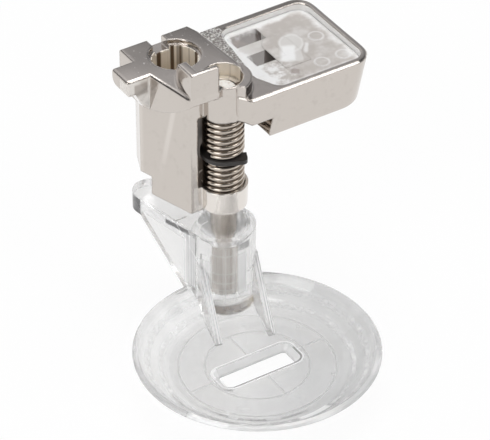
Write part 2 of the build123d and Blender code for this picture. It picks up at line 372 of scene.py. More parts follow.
@dataclass(frozen=True)
class NickelPlate(Finish):
    """Bright nickel plate over a casting: wavy and rubbed, machined in the socket, rough cast beside the tray; with
    painted shade, painted highlights and painted reflections.
    """

    name: str = "nickel_plate"
    colour: Colour = (0.60, 0.555, 0.515, 1.0)
    worn: Colour = (0.52, 0.48, 0.445, 1.0)
    # Dark tone of the rough cast strip, also laid as painted shade in the room of the springs
    grime_and_shade: Colour = (0.055, 0.042, 0.034, 1.0)
    # Gold and brown of the painted reflections in the socket and the well; the brown also paints the reflection
    # under the left ear
    gold: Colour = (0.98, 0.90, 0.78, 1.0)
    brown: Colour = (0.13, 0.085, 0.05, 1.0)
    # Painted light on the inner wall of the pocket above the block
    glow_tone: Colour = (0.95, 0.935, 0.92, 1.0)
    # Painted shade on the back of the plate and on the back rim of the tray
    back_shade: Colour = (0.30, 0.275, 0.255, 1.0)
    # Bright specks on the plate, and the painted highlights on the web, down the column and on the lower lug
    bright: Colour = (0.86, 0.82, 0.775, 1.0)
    # Painted glints on the rough cast strip
    glint_tone: Colour = (0.95, 0.93, 0.90, 1.0)
    roughness: float = 0.11
    edge: float = 0.36 * MM
    depth: float = 0.02 * MM
    plate_z: float = 36.35
    plate_right: float = 6.2
    # Where the painted shade on the plate grows towards the back
    plate_shade_fades: Range = (16.5, 24.0)
    neck_z: float = 34.35
    level: float = 0.3
    strip_x: Range = (5.9, 10.6)
    strip_front: float = 14.4
    back_rim: Spot = (6.5, 25.2)
    socket: Spot = (1.25, 21.15)
    socket_r: float = 3.05
    ledge: float = 0.62
    well_r: float = 2.56
    room_r: float = 3.66
    room_z: Range = (19.95, 30.65)
    cup_r: float = 4.3
    cup_z: Range = (16.2, 20.15)
    web_left_of: float = -3.85
    web_y: Range = (18.5, 20.7)
    web_z: Range = (30.3, 36.0)
    # Where the painted brown reflection under the left ear lies, over the web's painted light
    ear_reflection_x: Range = (-5.9, -4.3)
    ear_reflection_z: Range = (34.1, 35.3)
    flank: Spot = (-0.5, 31.5)
    sheen_top: Spot = (17.3, 30.0)
    sheen_slope: float = 0.196
    sheen_half: Range = (-0.12, 0.12)
    sheen_rise: Range = (18.5, 27.0)
    rear_sheen: Range = (22.4, 23.3)
    pocket: Room = ((8.3, 23.3), (10.4, 25.35), (33.2, 34.2))

    def sheen(self, graph: Graph) -> Shade:
        """Mask of two reflections down the side of the column: a slanted one and an upright one behind it.

        Args:
            graph: The material's graph.

        Returns:
            The mask.
        """
        x, y, z = graph.place()
        slant = y - self.sheen_top[0] - (self.sheen_top[1] - z) * self.sheen_slope
        slanted = slant.band(self.sheen_half, 0.45) * z.ease(self.sheen_rise) * 0.3
        side = (z < self.flank[1]) & (x < self.flank[0])
        return side * (slanted | (y.band(self.rear_sheen, 0.6) * 0.25))

    def bore_reflections(self, graph: Graph, well: Shade) -> Shade:
        """Painted reflections: brown and gold stripes down the machined walls of the socket and of the well.

        Args:
            graph: The material's graph.
            well: Mask of the well.

        Returns:
            The colour of the stripes.
        """
        in_socket = graph.lines(graph.around(self.socket)[1] * 0.6, detail=1.0).ease((0.40, 0.52))
        in_well = graph.lines(graph.around(PIN_AXIS)[1] * 0.34, detail=1.0).ease((0.37, 0.5))
        return graph.mix(
            well, graph.mix(in_socket, self.brown, self.gold), graph.mix(in_well, self.brown, self.gold)
        )

    def shader(self, graph: Graph) -> Shade:
        """Builds the shader.

        Args:
            graph: The material's graph.

        Returns:
            The shader.
        """
        x, y, z = graph.place()
        to_pin, _ = graph.around(PIN_AXIS)
        marks = graph.noise(700.0, detail=5.0, rough=0.7).ease((0.52, 0.75))
        specks = graph.noise(2300.0, detail=2.0).ease((0.66, 0.72))
        # Rough cast floor between the head and the tray of the arm, darker and with painted glints
        strip = x.within(self.strip_x) & z.near(self.neck_z, self.level) & (y > self.strip_front)
        sparkle = strip * graph.noise(3300.0, detail=2.0, rough=0.7).ease((0.42, 0.62))
        # Machined walls of the socket and of the well around the pin's top, painted with striped reflections
        bore = (graph.around(self.socket)[0] < self.socket_r) & (z < self.plate_z - self.ledge)
        well = (to_pin < self.well_r) & z.within((self.neck_z, self.plate_z))
        machined = bore | (well * 0.85)
        # Painted shade in the room of the springs, a painted highlight on the cup of the lower lug, and painted
        # light with a painted brown reflection on the web under the left ear
        room_shade = (to_pin < self.room_r) & z.within(self.room_z)
        cup = (to_pin < self.cup_r) & z.within(self.cup_z)
        web = (x < self.web_left_of) & y.within(self.web_y) & z.within(self.web_z)
        # Painted shade on the top plate and the back rim of the tray, both darker towards the back
        plate = (z > self.plate_z - 0.05) & (x < self.plate_right)
        back_rim = (z > self.neck_z - self.level) & (y > self.back_rim[1]) & (x > self.back_rim[0])
        back_shaded = plate * (0.05 + 0.55 * y.ease(self.plate_shade_fades)) + 0.7 * back_rim
        # Painted light on the inner wall of the pocket above the block, as if lit up by the clear moulding
        pocket_glow = x.within(self.pocket[0]) & y.within(self.pocket[1]) & z.within(self.pocket[2])
        tone = graph.coats(
            self.colour,
            Coat(marks, self.worn, strength=0.5),
            Coat(back_shaded, self.back_shade),
            Coat(plate * (z < self.plate_z + 0.05) * specks, self.bright, strength=0.7),
            Coat(web, self.bright, strength=0.8),
            Coat(web * z.band(self.ear_reflection_z, 0.5) * x.band(self.ear_reflection_x, 0.3), self.brown, strength=0.5),
            Coat(self.sheen(graph), self.bright),
            Coat(cup, self.bright, strength=0.75),
            Coat(strip, self.grime_and_shade, strength=0.5),
            Coat(sparkle, self.glint_tone),
            Coat(machined, self.bore_reflections(graph, well)),
            Coat(room_shade, self.grime_and_shade, strength=0.9),
            Coat(pocket_glow, self.glow_tone),
        )
        waves = graph.noise(150.0, detail=2.0)
        polish = graph.noise(330.0, stretch=(1.0, 1.0, 0.08))
        grain = graph.noise(2400.0, detail=4.0, rough=0.65)
        height = waves + 0.5 * polish + 0.05 * grain + 5.0 * sparkle
        return graph.principled(
            {
                "Base Color": tone,
                "Metallic": 1.0 - 0.8 * machined - 0.85 * pocket_glow - 0.1 * cup - 0.55 * web,
                "Roughness": self.roughness + 0.06 * marks + 0.20 * strip + 0.22 * machined + 0.2 * room_shade,
                "Normal": graph.relief(height, self.depth, self.edge),
            }
        )


@dataclass(frozen=True)
class GroundSteel(Finish):
    """Turned and drawn steel with fine marks around the axis; a sawn end above a height is left rough and pale."""

    name: str = "ground_steel"
    colour: Colour = (0.82, 0.78, 0.74, 1.0)
    # Random stains, and the dark side of the painted highlight stripes down the spigot
    stain_and_shade: Colour = (0.58, 0.53, 0.48, 1.0)
    pale: Colour = (0.90, 0.89, 0.87, 1.0)
    # Light side of the painted highlight stripes down the spigot
    spigot: Colour = (0.80, 0.76, 0.72, 1.0)
    roughness: float = 0.16
    edge: float = 0.1 * MM
    depth: float = 0.004 * MM
    rough_above: float = 34.3
    groove_wide: float = 0.1
    grooves: tuple[float, ...] = ()

    def shader(self, graph: Graph) -> Shade:
        """Builds the shader.

        Args:
            graph: The material's graph.

        Returns:
            The shader.
        """
        z = graph.place()[2]
        rings = graph.lines(z * 9.0, detail=4.0)
        end = z > self.rough_above
        chips = graph.noise(2600.0, detail=3.0, rough=0.7)
        tone = graph.mix(graph.noise(420.0, detail=4.0), self.colour, self.stain_and_shade)
        matt = 0.6 * end
        if self.grooves:
            # Spigot inside the clear post with painted highlight stripes down its length, and light grooves around
            # it
            drawn = graph.lines(graph.around(PIN_AXIS)[1] * 0.55, detail=2.0).ease((0.35, 0.6))
            below = z < SPIGOT_TOP
            tone = graph.mix(below, tone, graph.mix(drawn, self.stain_and_shade, self.spigot))
            cuts = [z.band((groove, groove + self.groove_wide), 0.08) for groove in self.grooves]
            tone = graph.coats(tone, *(Coat(cut, self.pale) for cut in cuts))
            matt = matt + 0.5 * below
        return graph.principled(
            {
                "Base Color": graph.mix(end * chips.ease((0.3, 0.55)), tone, self.pale),
                "Metallic": 1.0 - matt,
                "Roughness": self.roughness + 0.10 * rings + 0.25 * end,
                "Normal": graph.relief(rings + 18.0 * (end * chips), self.depth, self.edge),
            }
        )


@dataclass(frozen=True)
class BlackClip(Finish):
    """Blackened spring steel."""

    name: str = "blackened_clip"
    colour: Colour = (0.014, 0.012, 0.011, 1.0)
    rubbed: Colour = (0.05, 0.045, 0.042, 1.0)
    edge: float = 0.12 * MM
    depth: float = 0.004 * MM

    def shader(self, graph: Graph) -> Shade:
        """Builds the shader.

        Args:
            graph: The material's graph.

        Returns:
            The shader.
        """
        grain = graph.noise(3200.0, detail=3.0)
        return graph.principled(
            {
                "Base Color": graph.mix(grain, self.colour, self.rubbed),
                "Roughness": 0.30 + 0.15 * grain,
                "Normal": graph.relief(grain, self.depth, self.edge),
            }
        )


@dataclass(frozen=True)
class ClearMoulding(Finish):
    """Clear injection moulding with faint flow waves and handling scratches."""

    tint: Colour = (0.86, 0.857, 0.853, 1.0)
    engraved: Colour = (0.50, 0.50, 0.50, 1.0)
    refraction: float = 1.49
    roughness: float = 0.04
    depth: float = 0.006 * MM
    edge: float = 0.15 * MM
    clarity: float = 0.88
    cover: float = 0.9

    def marks(self, graph: Graph) -> Optional[Shade]:
        """Mask of engraved marks; the plain moulding has none."""
        return None

    def tone(self, graph: Graph) -> Tone:
        """Colour of the moulding without its marks."""
        return self.tint

    def veil(self, graph: Graph) -> tuple[Value, Shade]:
        """Mask and colour of the glints and shades on the clear faces, which each moulding makes."""
        raise NotImplementedError

    def shader(self, graph: Graph) -> Shade:
        """Builds the shader.

        Args:
            graph: The material's graph.

        Returns:
            The shader.
        """
        height = graph.noise(210.0, detail=2.0)
        rough = self.roughness + 0.03 * graph.noise(900.0, detail=5.0, rough=0.7).ease((0.5, 0.8))
        colour = self.tone(graph)
        marks = self.marks(graph)
        if marks is not None:
            rough = rough + 0.3 * marks
            height = height - 2.0 * marks
            colour = graph.coats(colour, Coat(marks, self.engraved, strength=0.45))
        normal = graph.relief(height, self.depth, self.edge)
        clear = graph.principled(
            {
                "Base Color": colour,
                "Roughness": rough,
                "IOR": self.refraction,
                "Transmission Weight": self.clarity,
                "Alpha": self.cover,
                "Normal": normal,
            }
        )
        mask, shown = self.veil(graph)
        solid = graph.principled({"Base Color": shown, "Roughness": rough, "Normal": normal})
        return graph.node("ShaderNodeMixShader", None, {0: mask, 1: clear, 2: solid})


@dataclass(frozen=True)
class CodedClear(ClearMoulding):
    """The coded block: clear over the bright pocket, with painted shade on its prism faces, painted white
    reflections and a painted white border, a pale column in it and ringed dots.
    """

    name: str = "clear_block"
    tint: Colour = (0.90, 0.88, 0.86, 1.0)
    beige: Colour = (0.56, 0.515, 0.48, 1.0)
    mist: Colour = (0.78, 0.76, 0.735, 1.0)
    # Pale of the painted white reflections and the painted border, and of the window and the rings
    pale: Colour = (1.0, 1.0, 0.995, 1.0)
    # Brown of the flecks and the stain, and with the dark tone the painted shade on the prism faces
    brown: Colour = (0.25, 0.19, 0.165, 1.0)
    dark: Colour = (0.13, 0.105, 0.092, 1.0)
    roughness: float = 0.07
    clarity: float = 0.7
    cover: float = 0.95
    edge: float = 0.30 * MM
    body: float = 0.74
    inner_x: Range = (11.5, 21.7)
    inner_y: Range = (12.0, 23.7)
    border_soft: float = 1.2
    wall_soft: float = 0.7
    # Where the painted white reflections and dark flecks lie, left of the column
    busy: Range = (16.6, 19.4)
    busy_back: Range = (16.4, 18.2)
    fleck_back: Range = (16.6, 18.0)
    # Directions across and along the column, then its parts in those two coordinates
    across: Spot = (0.842, -0.539)
    along: Spot = (0.326, 0.511)
    column: Spot = (4.28, 15.3)
    column_r: Spot = (1.45, 1.15)
    column_foot: float = 12.9
    window: Box = ((3.35, 4.55), (13.1, 14.6))
    curl: Box = ((6.15, 6.3), (14.3, 15.1))
    stain: Box = ((4.4, 5.2), (11.3, 11.7))
    dots: tuple[Spot, ...] = ((20.8, 18.6), (18.25, 13.35), (21.5, 13.35))
    dot_r: float = 0.95
    valley_x: Range = (10.7, 15.3)
    valleys: tuple[float, ...] = (18.2, 22.9)
    rear_face: Spot = (0.65, 0.7)

    def border(self, graph: Graph) -> Shade:
        """Mask of the ragged border and of the long wall at the left, where white light is painted.

        Args:
            graph: The material's graph.

        Returns:
            The mask.
        """
        x, y, _ = graph.place()
        ragged = 2.4 * (graph.noise(420.0, detail=3.0, rough=0.6) - 0.5)
        x, y = x + ragged, y + ragged
        left, right = self.inner_x
        front, back = self.inner_y
        ends = x.ease((right, right + self.border_soft)) | x.fade((left - self.wall_soft, left))
        return ends | y.ease((back, back + self.border_soft)) | y.fade((front - self.border_soft, front))

    def column_coats(self, graph: Graph) -> list[Coat]:
        """Tones of the column, a round top over straight sides, with its window, a curl beside it and a stain.

        Args:
            graph: The material's graph.

        Returns:
            The coats, in order.
        """
        x, y, _ = graph.place()
        bend = 0.7 * (graph.noise(520.0, detail=2.0) - 0.5)
        a = self.across[0] * x + self.across[1] * y + bend
        b = self.along[0] * x + self.along[1] * y + bend
        side, rise = (a - self.column[0]) / self.column_r[0], (b - self.column[1]) / self.column_r[1]
        reach = (side * side + rise * rise).root()
        sides = abs(side).fade((0.92, 1.1)) * b.band((self.column_foot, self.column[1]), 0.25)
        window = a.band(self.window[0], 0.5) * b.band(self.window[1], 0.5)
        curl = a.band(self.curl[0], 0.35) * b.band(self.curl[1], 0.4) * 0.7
        return [
            Coat(reach.fade((0.93, 1.08)) | sides, self.mist, strength=0.85),
            Coat(abs(reach - 1.0).fade((0.02, 0.2)), self.pale, strength=0.35),
            Coat(window | curl, self.pale),
            Coat(a.band(self.stain[0], 0.3) * b.band(self.stain[1], 0.2), self.brown, strength=0.55),
        ]

    def veil(self, graph: Graph) -> tuple[float, Shade]:
        """Beige middle, painted white light on the border, a misty column with a white window, painted shade on the
        prism faces and ringed dots.

        Args:
            graph: The material's graph.

        Returns:
            The veil's share and its colour.
        """
        x, y, z = graph.place()
        cloud = graph.noise(330.0, detail=3.0, rough=0.6)
        fleck = graph.noise(640.0, detail=4.0, rough=0.7)
        # Left of the column the moulding is full of painted white reflections with small dark flecks
        busy = (x + 0.25 * y).fade(self.busy)
        broken = graph.mix(fleck.ease((0.40, 0.62)), self.beige, self.pale)
        flecks = busy * y.fade(self.fleck_back) * fleck.fade((0.30, 0.40))
        rings = [abs(graph.around(dot)[0] - self.dot_r).fade((0.02, 0.24)) for dot in self.dots]
        # Prism valleys: painted shade on the rear faces and misty front faces
        sunk = (z < BLOCK_TOP - 0.04) & x.within(self.valley_x)
        behind, half = self.rear_face
        rear = (abs(y - self.valleys[0] - behind) < half) | (abs(y - self.valleys[1] - behind) < half)
        prism = graph.mix(cloud.ease((0.42, 0.8)), self.dark, self.brown)
        tone = graph.coats(
            graph.mix(cloud.ease((0.40, 0.75)), self.beige, self.mist),
            Coat(busy, graph.mix(y.ease(self.busy_back), broken, self.mist), strength=0.9),
            Coat(flecks, self.brown, strength=0.4),
            *self.column_coats(graph),
            *(Coat(ring, self.pale, strength=0.55) for ring in rings),
            Coat(sunk, graph.mix(rear, self.mist, prism)),
            Coat(self.border(graph) * (0.75 + 0.4 * cloud), self.pale),
        )
        return self.body, tone


@dataclass(frozen=True)
class MarkedSole(ClearMoulding):
    """The sole's moulding with its engraved guide circles, cross lines and dots, and its glints and refractions."""

    name: str = "clear_sole"
    # Painted shade to the right and on the floor, and the painted highlight in the left of the bowl
    shade: Colour = (0.66, 0.66, 0.66, 1.0)
    bowl_highlight: Colour = (0.97, 0.97, 0.97, 1.0)
    # Colours of the painted glints and of the painted dark refraction
    white: Colour = (0.98, 0.98, 0.98, 1.0)
    dark_refraction: Colour = (0.07, 0.07, 0.072, 1.0)
    # Brown painted reflection in the post's foot and its gold edge
    amber: Colour = (0.25, 0.19, 0.155, 1.0)
    gold: Colour = (0.62, 0.45, 0.20, 1.0)
    circles: tuple[float, float] = (6.7, 10.1)
    line: float = 0.09
    line_start: float = 0.5
    dots: tuple[Spot, ...] = ((8.6, 3.7), (7.2, -6.65))
    dot_r: float = 0.22
    floor_top: float = 1.1
    floor_skin: float = 0.05
    low: float = 1.2
    flare_z: float = 0.35
    left_end: float = -4.9
    # Sloping top faces of the ribs: limits in x, slope against y and height at y = 0
    ribs: tuple[tuple[Range, float, float], ...] = (((-3.0, 0.6), 0.982, -4.49), ((5.0, 8.5), 0.972, -2.5))
    rib_skin: float = 0.15
    post_r: float = 4.3
    post_front: float = 12.5
    post_z: Range = (1.3, 12.95)
    post_streak: Box = ((3.7, 4.6), (4.8, 10.4))
    post_fine_glints: Range = (3.6, 11.5)
    post_smear: Box = ((3.4, 5.2), (11.5, 12.3))
    rib_web: Room = ((-0.8, 0.5), (11.6, 13.6), (5.5, 9.4))
    rib_web_r: float = 3.95
    fin_root: Room = ((-0.95, -0.3), (14.3, 16.1), (4.5, 12.1))
    foot_z: Range = (1.5, 2.5)
    foot_front: float = 13.0
    foot_thins: Range = (3.6, 5.6)
    foot_gold: Range = (5.2, 6.3)
    rim_r: Range = (14.9, 15.9)
    rim_top: float = 4.0
    bowl_r: Range = (11.0, 14.9)
    bowl_top: float = 3.9
    left_rim: Range = (-2.68, -2.40)
    front_rim: Range = (-2.5, -0.8)
    right_rim: Range = (-1.45, -0.95)
    arc_turn: Range = (-1.66, -1.36)
    arc_r: Range = (11.9, 12.7)
    guide_end: Spot = (-1.9, 24.4)
    guide_streak: tuple[float, Range] = (-0.4, (15.5, 19.6))
    streak_at: Spot = (17.6, 12.42)
    streak_slope: float = 0.1

    def tone(self, graph: Graph) -> Shade:
        """Clear, with painted shade greyer to the right and on the floor, and a painted highlight paler in the left
        of the bowl.

        Args:
            graph: The material's graph.

        Returns:
            The colour.
        """
        x, y, z = graph.place()
        radius, _ = graph.around(NEEDLE)
        across = (0.84 * x - 0.54 * y).ease((-9.0, 10.0))
        bowl = radius.ease((10.6, 12.5)) & z.fade((3.3, 3.9))
        return graph.coats(
            self.tint,
            Coat((across | ((z < self.low) * 0.4)) * (z < 4.5), self.shade),
            Coat(bowl * (1.0 - across), self.bowl_highlight, strength=0.7),
        )

    def slot_gap(self, graph: Graph) -> Shade:
        """Distance in millimetres outwards from the slot's rounded outline.

        Args:
            graph: The material's graph.

        Returns:
            The distance, below 0 within the outline.
        """
        x, y, _ = graph.place()
        drawn = (x / SLOT_DRAW[0], y / SLOT_DRAW[1])
        out_x, out_y = ((abs(value) - (half - SLOT_ROUND)).above_zero() for value, half in zip(drawn, SLOT_HALF))
        return (out_x * out_x + out_y * out_y).root() - SLOT_ROUND

    def post_face(self, graph: Graph) -> Shade:
        """Mask of the front of the post."""
        _, y, z = graph.place()
        return (graph.around(PIN_AXIS)[0] < self.post_r) & (y < self.post_front) & z.within(self.post_z)

    def upright_glints(self, graph: Graph) -> Shade:
        """White on the tops of the ribs, beside the post, in the root of the fin and down the front of the post.

        Args:
            graph: The material's graph.

        Returns:
            The mask.
        """
        x, y, z = graph.place()
        # Painted glints on the ribs and the post run along these lines
        glint_lines = graph.lines((0.958 * x - 0.287 * y) * 0.6, detail=2.0)
        left, right = (
            x.within(limits) & (abs(z - slope * y - rise) < self.rib_skin) for limits, slope, rise in self.ribs
        )
        tops = (left | right) * (z > self.post_z[0]) * (0.35 + 0.6 * glint_lines.ease((0.4, 0.55)))
        root_x, root_y, root_z = self.fin_root
        root = x.band(root_x, 0.05) * y.band(root_y, 0.3) * z.band(root_z, 0.5)
        web_x, web_y, web_z = self.rib_web
        web = x.band(web_x, 0.3) * y.band(web_y, 0.4) * z.band(web_z, 0.4)
        web = web * (graph.around(PIN_AXIS)[0] > self.rib_web_r)
        glint_share = glint_lines.ease((0.4, 0.6))
        front = self.post_face(graph)
        streak_x, streak_z = self.post_streak
        streak = front * x.band(streak_x, 0.35) * z.band(streak_z, 0.8) * 0.75
        fine_glints = front * glint_lines.ease((0.52, 0.72)) * z.band(self.post_fine_glints, 1.0) * 0.4
        return tops | (root * (0.45 + 0.3 * glint_share)) | (web * (0.3 + 0.5 * glint_share)) | streak | fine_glints

    def saucer_rim(self, graph: Graph) -> Shade:
        """Mask of the saucer's rim."""
        return (graph.place()[2] < self.rim_top) * graph.around(NEEDLE)[0].band(self.rim_r, 0.3)

    def saucer_glints(self, graph: Graph, cloud: Shade) -> Shade:
        """White along the rim, in the bowl and over the floor.

        Args:
            graph: The material's graph.
            cloud: Noise that breaks the tones up.

        Returns:
            The mask.
        """
        z = graph.place()[2]
        radius, turn = graph.around(NEEDLE)
        rim = self.saucer_rim(graph)
        ripple = graph.lines(radius * 0.22, detail=2.0).ease((0.45, 0.7))
        patchy = 0.3 + 0.9 * cloud.ease((0.4, 0.65))
        bowl = (z < self.bowl_top) * radius.band(self.bowl_r, 0.4)
        arc = turn.band(self.arc_turn, 0.06) * radius.band(self.arc_r, 0.3) * 0.7
        edge = (rim * turn.band(self.left_rim, 0.08) * 0.8) | (rim * (0.12 + 0.4 * turn.band(self.front_rim, 0.3)))
        floor = (z < self.low) * cloud.ease((0.55, 0.8)) * 0.2
        return edge | (bowl * arc) | (bowl * ripple * patchy * 0.35) | floor

    def slot_tones(self, graph: Graph, cloud: Shade) -> tuple[Shade, Shade]:
        """Painted highlights on the slot's wall and around its lip; painted shade along the near lip and the foot of
        the wall.

        Args:
            graph: The material's graph.
            cloud: Noise that breaks the tones up.

        Returns:
            The masks of white and of dark.
        """
        x, y, z = graph.place()
        gap = self.slot_gap(graph)
        lip = self.floor_top - self.flare_z
        level = z.near(self.floor_top, self.floor_skin)
        lean = gap - (z - self.flare_z).above_zero()
        wall = (abs(lean) < 0.1) & z.within((0.02, self.floor_top - 0.03))
        line = level * gap.band((lip + 0.30, lip + 0.45), 0.1) * 0.8
        spark = gap.band((0.1, lip + 0.2), 0.1) * (x < self.left_end) * (z < self.low) * cloud.ease((0.42, 0.5))
        near_lip = level * gap.band((lip, lip + 0.2), 0.06) * (y < 0.6)
        return (wall * 0.75) | line | spark, near_lip | (wall * (z < 0.12))

    def shadows(self, graph: Graph, cloud: Shade) -> Shade:
        """Dark refraction in the end and side of the guide, at the right of the rim and smeared on the post.

        Args:
            graph: The material's graph.
            cloud: Noise that breaks the tones up.

        Returns:
            The mask.
        """
        x, y, z = graph.place()
        end = (x < self.guide_end[0]) & (y > self.guide_end[1]) & (z < self.post_z[1])
        left_of, reach = self.guide_streak
        drift = z - self.streak_at[1] + (y - self.streak_at[0]) * self.streak_slope
        streak = (x < left_of) * y.band(reach, 0.2) * abs(drift).fade((0.26, 0.42))
        rim = self.saucer_rim(graph) * graph.around(NEEDLE)[1].band(self.right_rim, 0.1)
        smear_x, smear_z = self.post_smear
        smear = self.post_face(graph) * x.band(smear_x, 0.4) * z.band(smear_z, 0.3) * cloud.ease((0.35, 0.6))
        return (end * (0.55 + 0.5 * cloud)) | (streak * 0.85) | (rim * 0.1) | (smear * 0.55)

    def veil(self, graph: Graph) -> tuple[Shade, Shade]:
        """White glints and dark refraction, and a brown reflection in the post's foot that thins to a gold edge.

        Args:
            graph: The material's graph.

        Returns:
            The veil's mask and its colour.
        """
        x, y, z = graph.place()
        cloud = graph.noise(420.0, detail=4.0, rough=0.6)
        slot_glint, slot_edge = self.slot_tones(graph, cloud)
        glint = self.upright_glints(graph) | self.saucer_glints(graph, cloud) | slot_glint
        dark = self.shadows(graph, cloud) | (slot_edge * 0.6)
        shown = graph.mix(dark / (dark + glint + 0.001), self.white, self.dark_refraction)
        foot = (graph.around(PIN_AXIS)[0] < self.post_r) * z.band(self.foot_z, 0.4) * (y < self.foot_front)
        warm = graph.mix(x.band(self.foot_gold, 0.5), self.amber, self.gold)
        shown = graph.mix(foot > 0.1, shown, warm)
        brown = foot * (0.3 + 0.45 * cloud) * (1.0 - 0.5 * x.ease(self.foot_thins))
        return glint | dark | brown, shown

    def marks(self, graph: Graph) -> Shade:
        """Mask of the circles, the cross lines from the slot to them, and the dots.

        Args:
            graph: The material's graph.

        Returns:
            The mask.
        """
        x, y, z = graph.place()
        radius, _ = graph.around(NEEDLE)
        inner, outer = self.circles
        across = (abs(y) < self.line) & (abs(x) > SLOT_HALF[0] + self.line_start) & (radius < outer)
        along = (abs(x) < self.line) & (abs(y) > SLOT_HALF[1] + self.line_start) & (radius < inner)
        drawn = radius.near(inner, self.line) | radius.near(outer, self.line) | across | along
        for dot in self.dots:
            drawn = drawn | (graph.around(dot)[0] < self.dot_r)
        return drawn & z.near(self.floor_top, self.floor_skin)


def link(name: str, mesh: bpy.types.Mesh) -> bpy.types.Object:
    """Puts a mesh into the scene as an object at the origin.

    Args:
        name: The object's name.
        mesh: Its mesh.

    Returns:
        The object.
    """
    made = bpy.data.objects.new(name, mesh)
    bpy.context.scene.collection.objects.link(made)
    return made


def grid_mesh(name: str, points: np.ndarray, around: bool = False) -> bpy.types.Mesh:
    """Mesh of a surface that is given as a grid of points.

    Args:
        name: The mesh's name.
        points: Array of rows, columns and three coordinates in metres.
        around: Whether the columns close on themselves and the two end rows are capped.

    Returns:
        The smooth mesh.
    """
    rows, columns = points.shape[:2]
    index = np.arange(rows * columns).reshape(rows, columns)
    wide = np.concatenate([index, index[:, :1]], axis=1) if around else index
    quads = np.stack([wide[:-1, :-1], wide[:-1, 1:], wide[1:, 1:], wide[1:, :-1]], axis=-1).reshape(-1, 4)
    faces = quads.tolist()
    if around:
        faces += [index[0, ::-1].tolist(), index[-1].tolist()]
    mesh = bpy.data.meshes.new(name)
    mesh.from_pydata(points.reshape(-1, 3).tolist(), [], faces)
    mesh.shade_smooth()
    mesh.set_sharp_from_angle(angle=math.radians(GRID_CREASE))
    return mesh


def welded(node: bpy.types.Object, name: str, crease: float) -> bpy.types.Object:
    """Copy of a node's triangles with equal corners joined and smooth shading up to a crease angle.

    Args:
        node: The node's object.
        name: Name of the copy.
        crease: Angle in degrees above which an edge stays sharp.

    Returns:
        The copy.
    """
    corners = np.zeros(len(node.data.vertices) * 3)
    node.data.vertices.foreach_get("co", corners)
    loops = np.zeros(len(node.data.loops), dtype=np.int64)
    node.data.loops.foreach_get("vertex_index", loops)
    unique, joined = np.unique(np.round(corners.reshape(-1, 3), WELD_DIGITS), axis=0, return_inverse=True)
    faces = joined.reshape(-1)[loops].reshape(-1, 3)
    whole = (faces[:, 0] != faces[:, 1]) & (faces[:, 1] != faces[:, 2]) & (faces[:, 2] != faces[:, 0])
    mesh = bpy.data.meshes.new(name)
    mesh.from_pydata(unique.tolist(), [], faces[whole].tolist())
    mesh.shade_smooth()
    mesh.set_sharp_from_angle(angle=math.radians(crease))
    return link(name, mesh)


def reshape(piece: bpy.types.Object, move: Callable[[np.ndarray], np.ndarray]) -> None:
    """Moves the points of a piece's mesh.

    Args:
        piece: The piece.
        move: Function from the points in metres to their new places.
    """
    mesh = piece.data
    points = np.zeros(len(mesh.vertices) * 3)
    mesh.vertices.foreach_get("co", points)
    mesh.vertices.foreach_set("co", move(points.reshape(-1, 3)).reshape(-1))
    mesh.update()


@dataclass
class CoilSpring:
    """Compression spring of round wire with closed ends, wound on a vertical axis between two bodies."""

    name: str
    node: str
    below: Body
    above: Body
    turns: float
    closed: float
    start: float
    wire: float = 0.6 * MM
    seat: float = 0.45
    steps: int = 40
    sides: int = 14

    def heights(self, bottom: float, top: float, turn: np.ndarray) -> np.ndarray:
        """Heights of the wire's centre, with the wire's thickness as the pitch of the closed end turns.

        Args:
            bottom: Lower end of the spring's room.
            top: Upper end of the spring's room.
            turn: Turns from the lower end, rising from 0.

        Returns:
            The height at each turn.
        """
        low, high = bottom + self.wire * self.seat, top - self.wire * self.seat
        dead = self.closed * self.wire
        knots = [0.0, self.closed, self.turns - self.closed, self.turns]
        return np.interp(turn, knots, [low, low + dead, high - dead, high])

    def build(self, finish: bpy.types.Material) -> None:
        """Sweeps the wire's circle along a helix, in the plane of the axis and the radius.

        Args:
            finish: The wire's material.
        """
        low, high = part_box(self.node)
        centre = (low + high) / 2
        turn = np.linspace(0.0, self.turns, int(self.turns * self.steps))
        angle = self.start + 2 * math.pi * turn[:, None]
        around = np.linspace(0.0, 2 * math.pi, self.sides, endpoint=False)
        radius = (high.x - low.x) / 2 - self.wire / 2 + self.wire / 2 * np.cos(around)
        z = self.heights(low.z, high.z, turn)[:, None] + self.wire / 2 * np.sin(around)
        points = np.stack([centre.x + radius * np.cos(angle), centre.y + radius * np.sin(angle), z], axis=-1)
        spring = link(self.name, grid_mesh(self.name, points, around=True))
        spring.data.materials.append(finish)
        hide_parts(self.node)
        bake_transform(spring)
        LOG.info("%s: %d turns", self.name, round(self.turns))


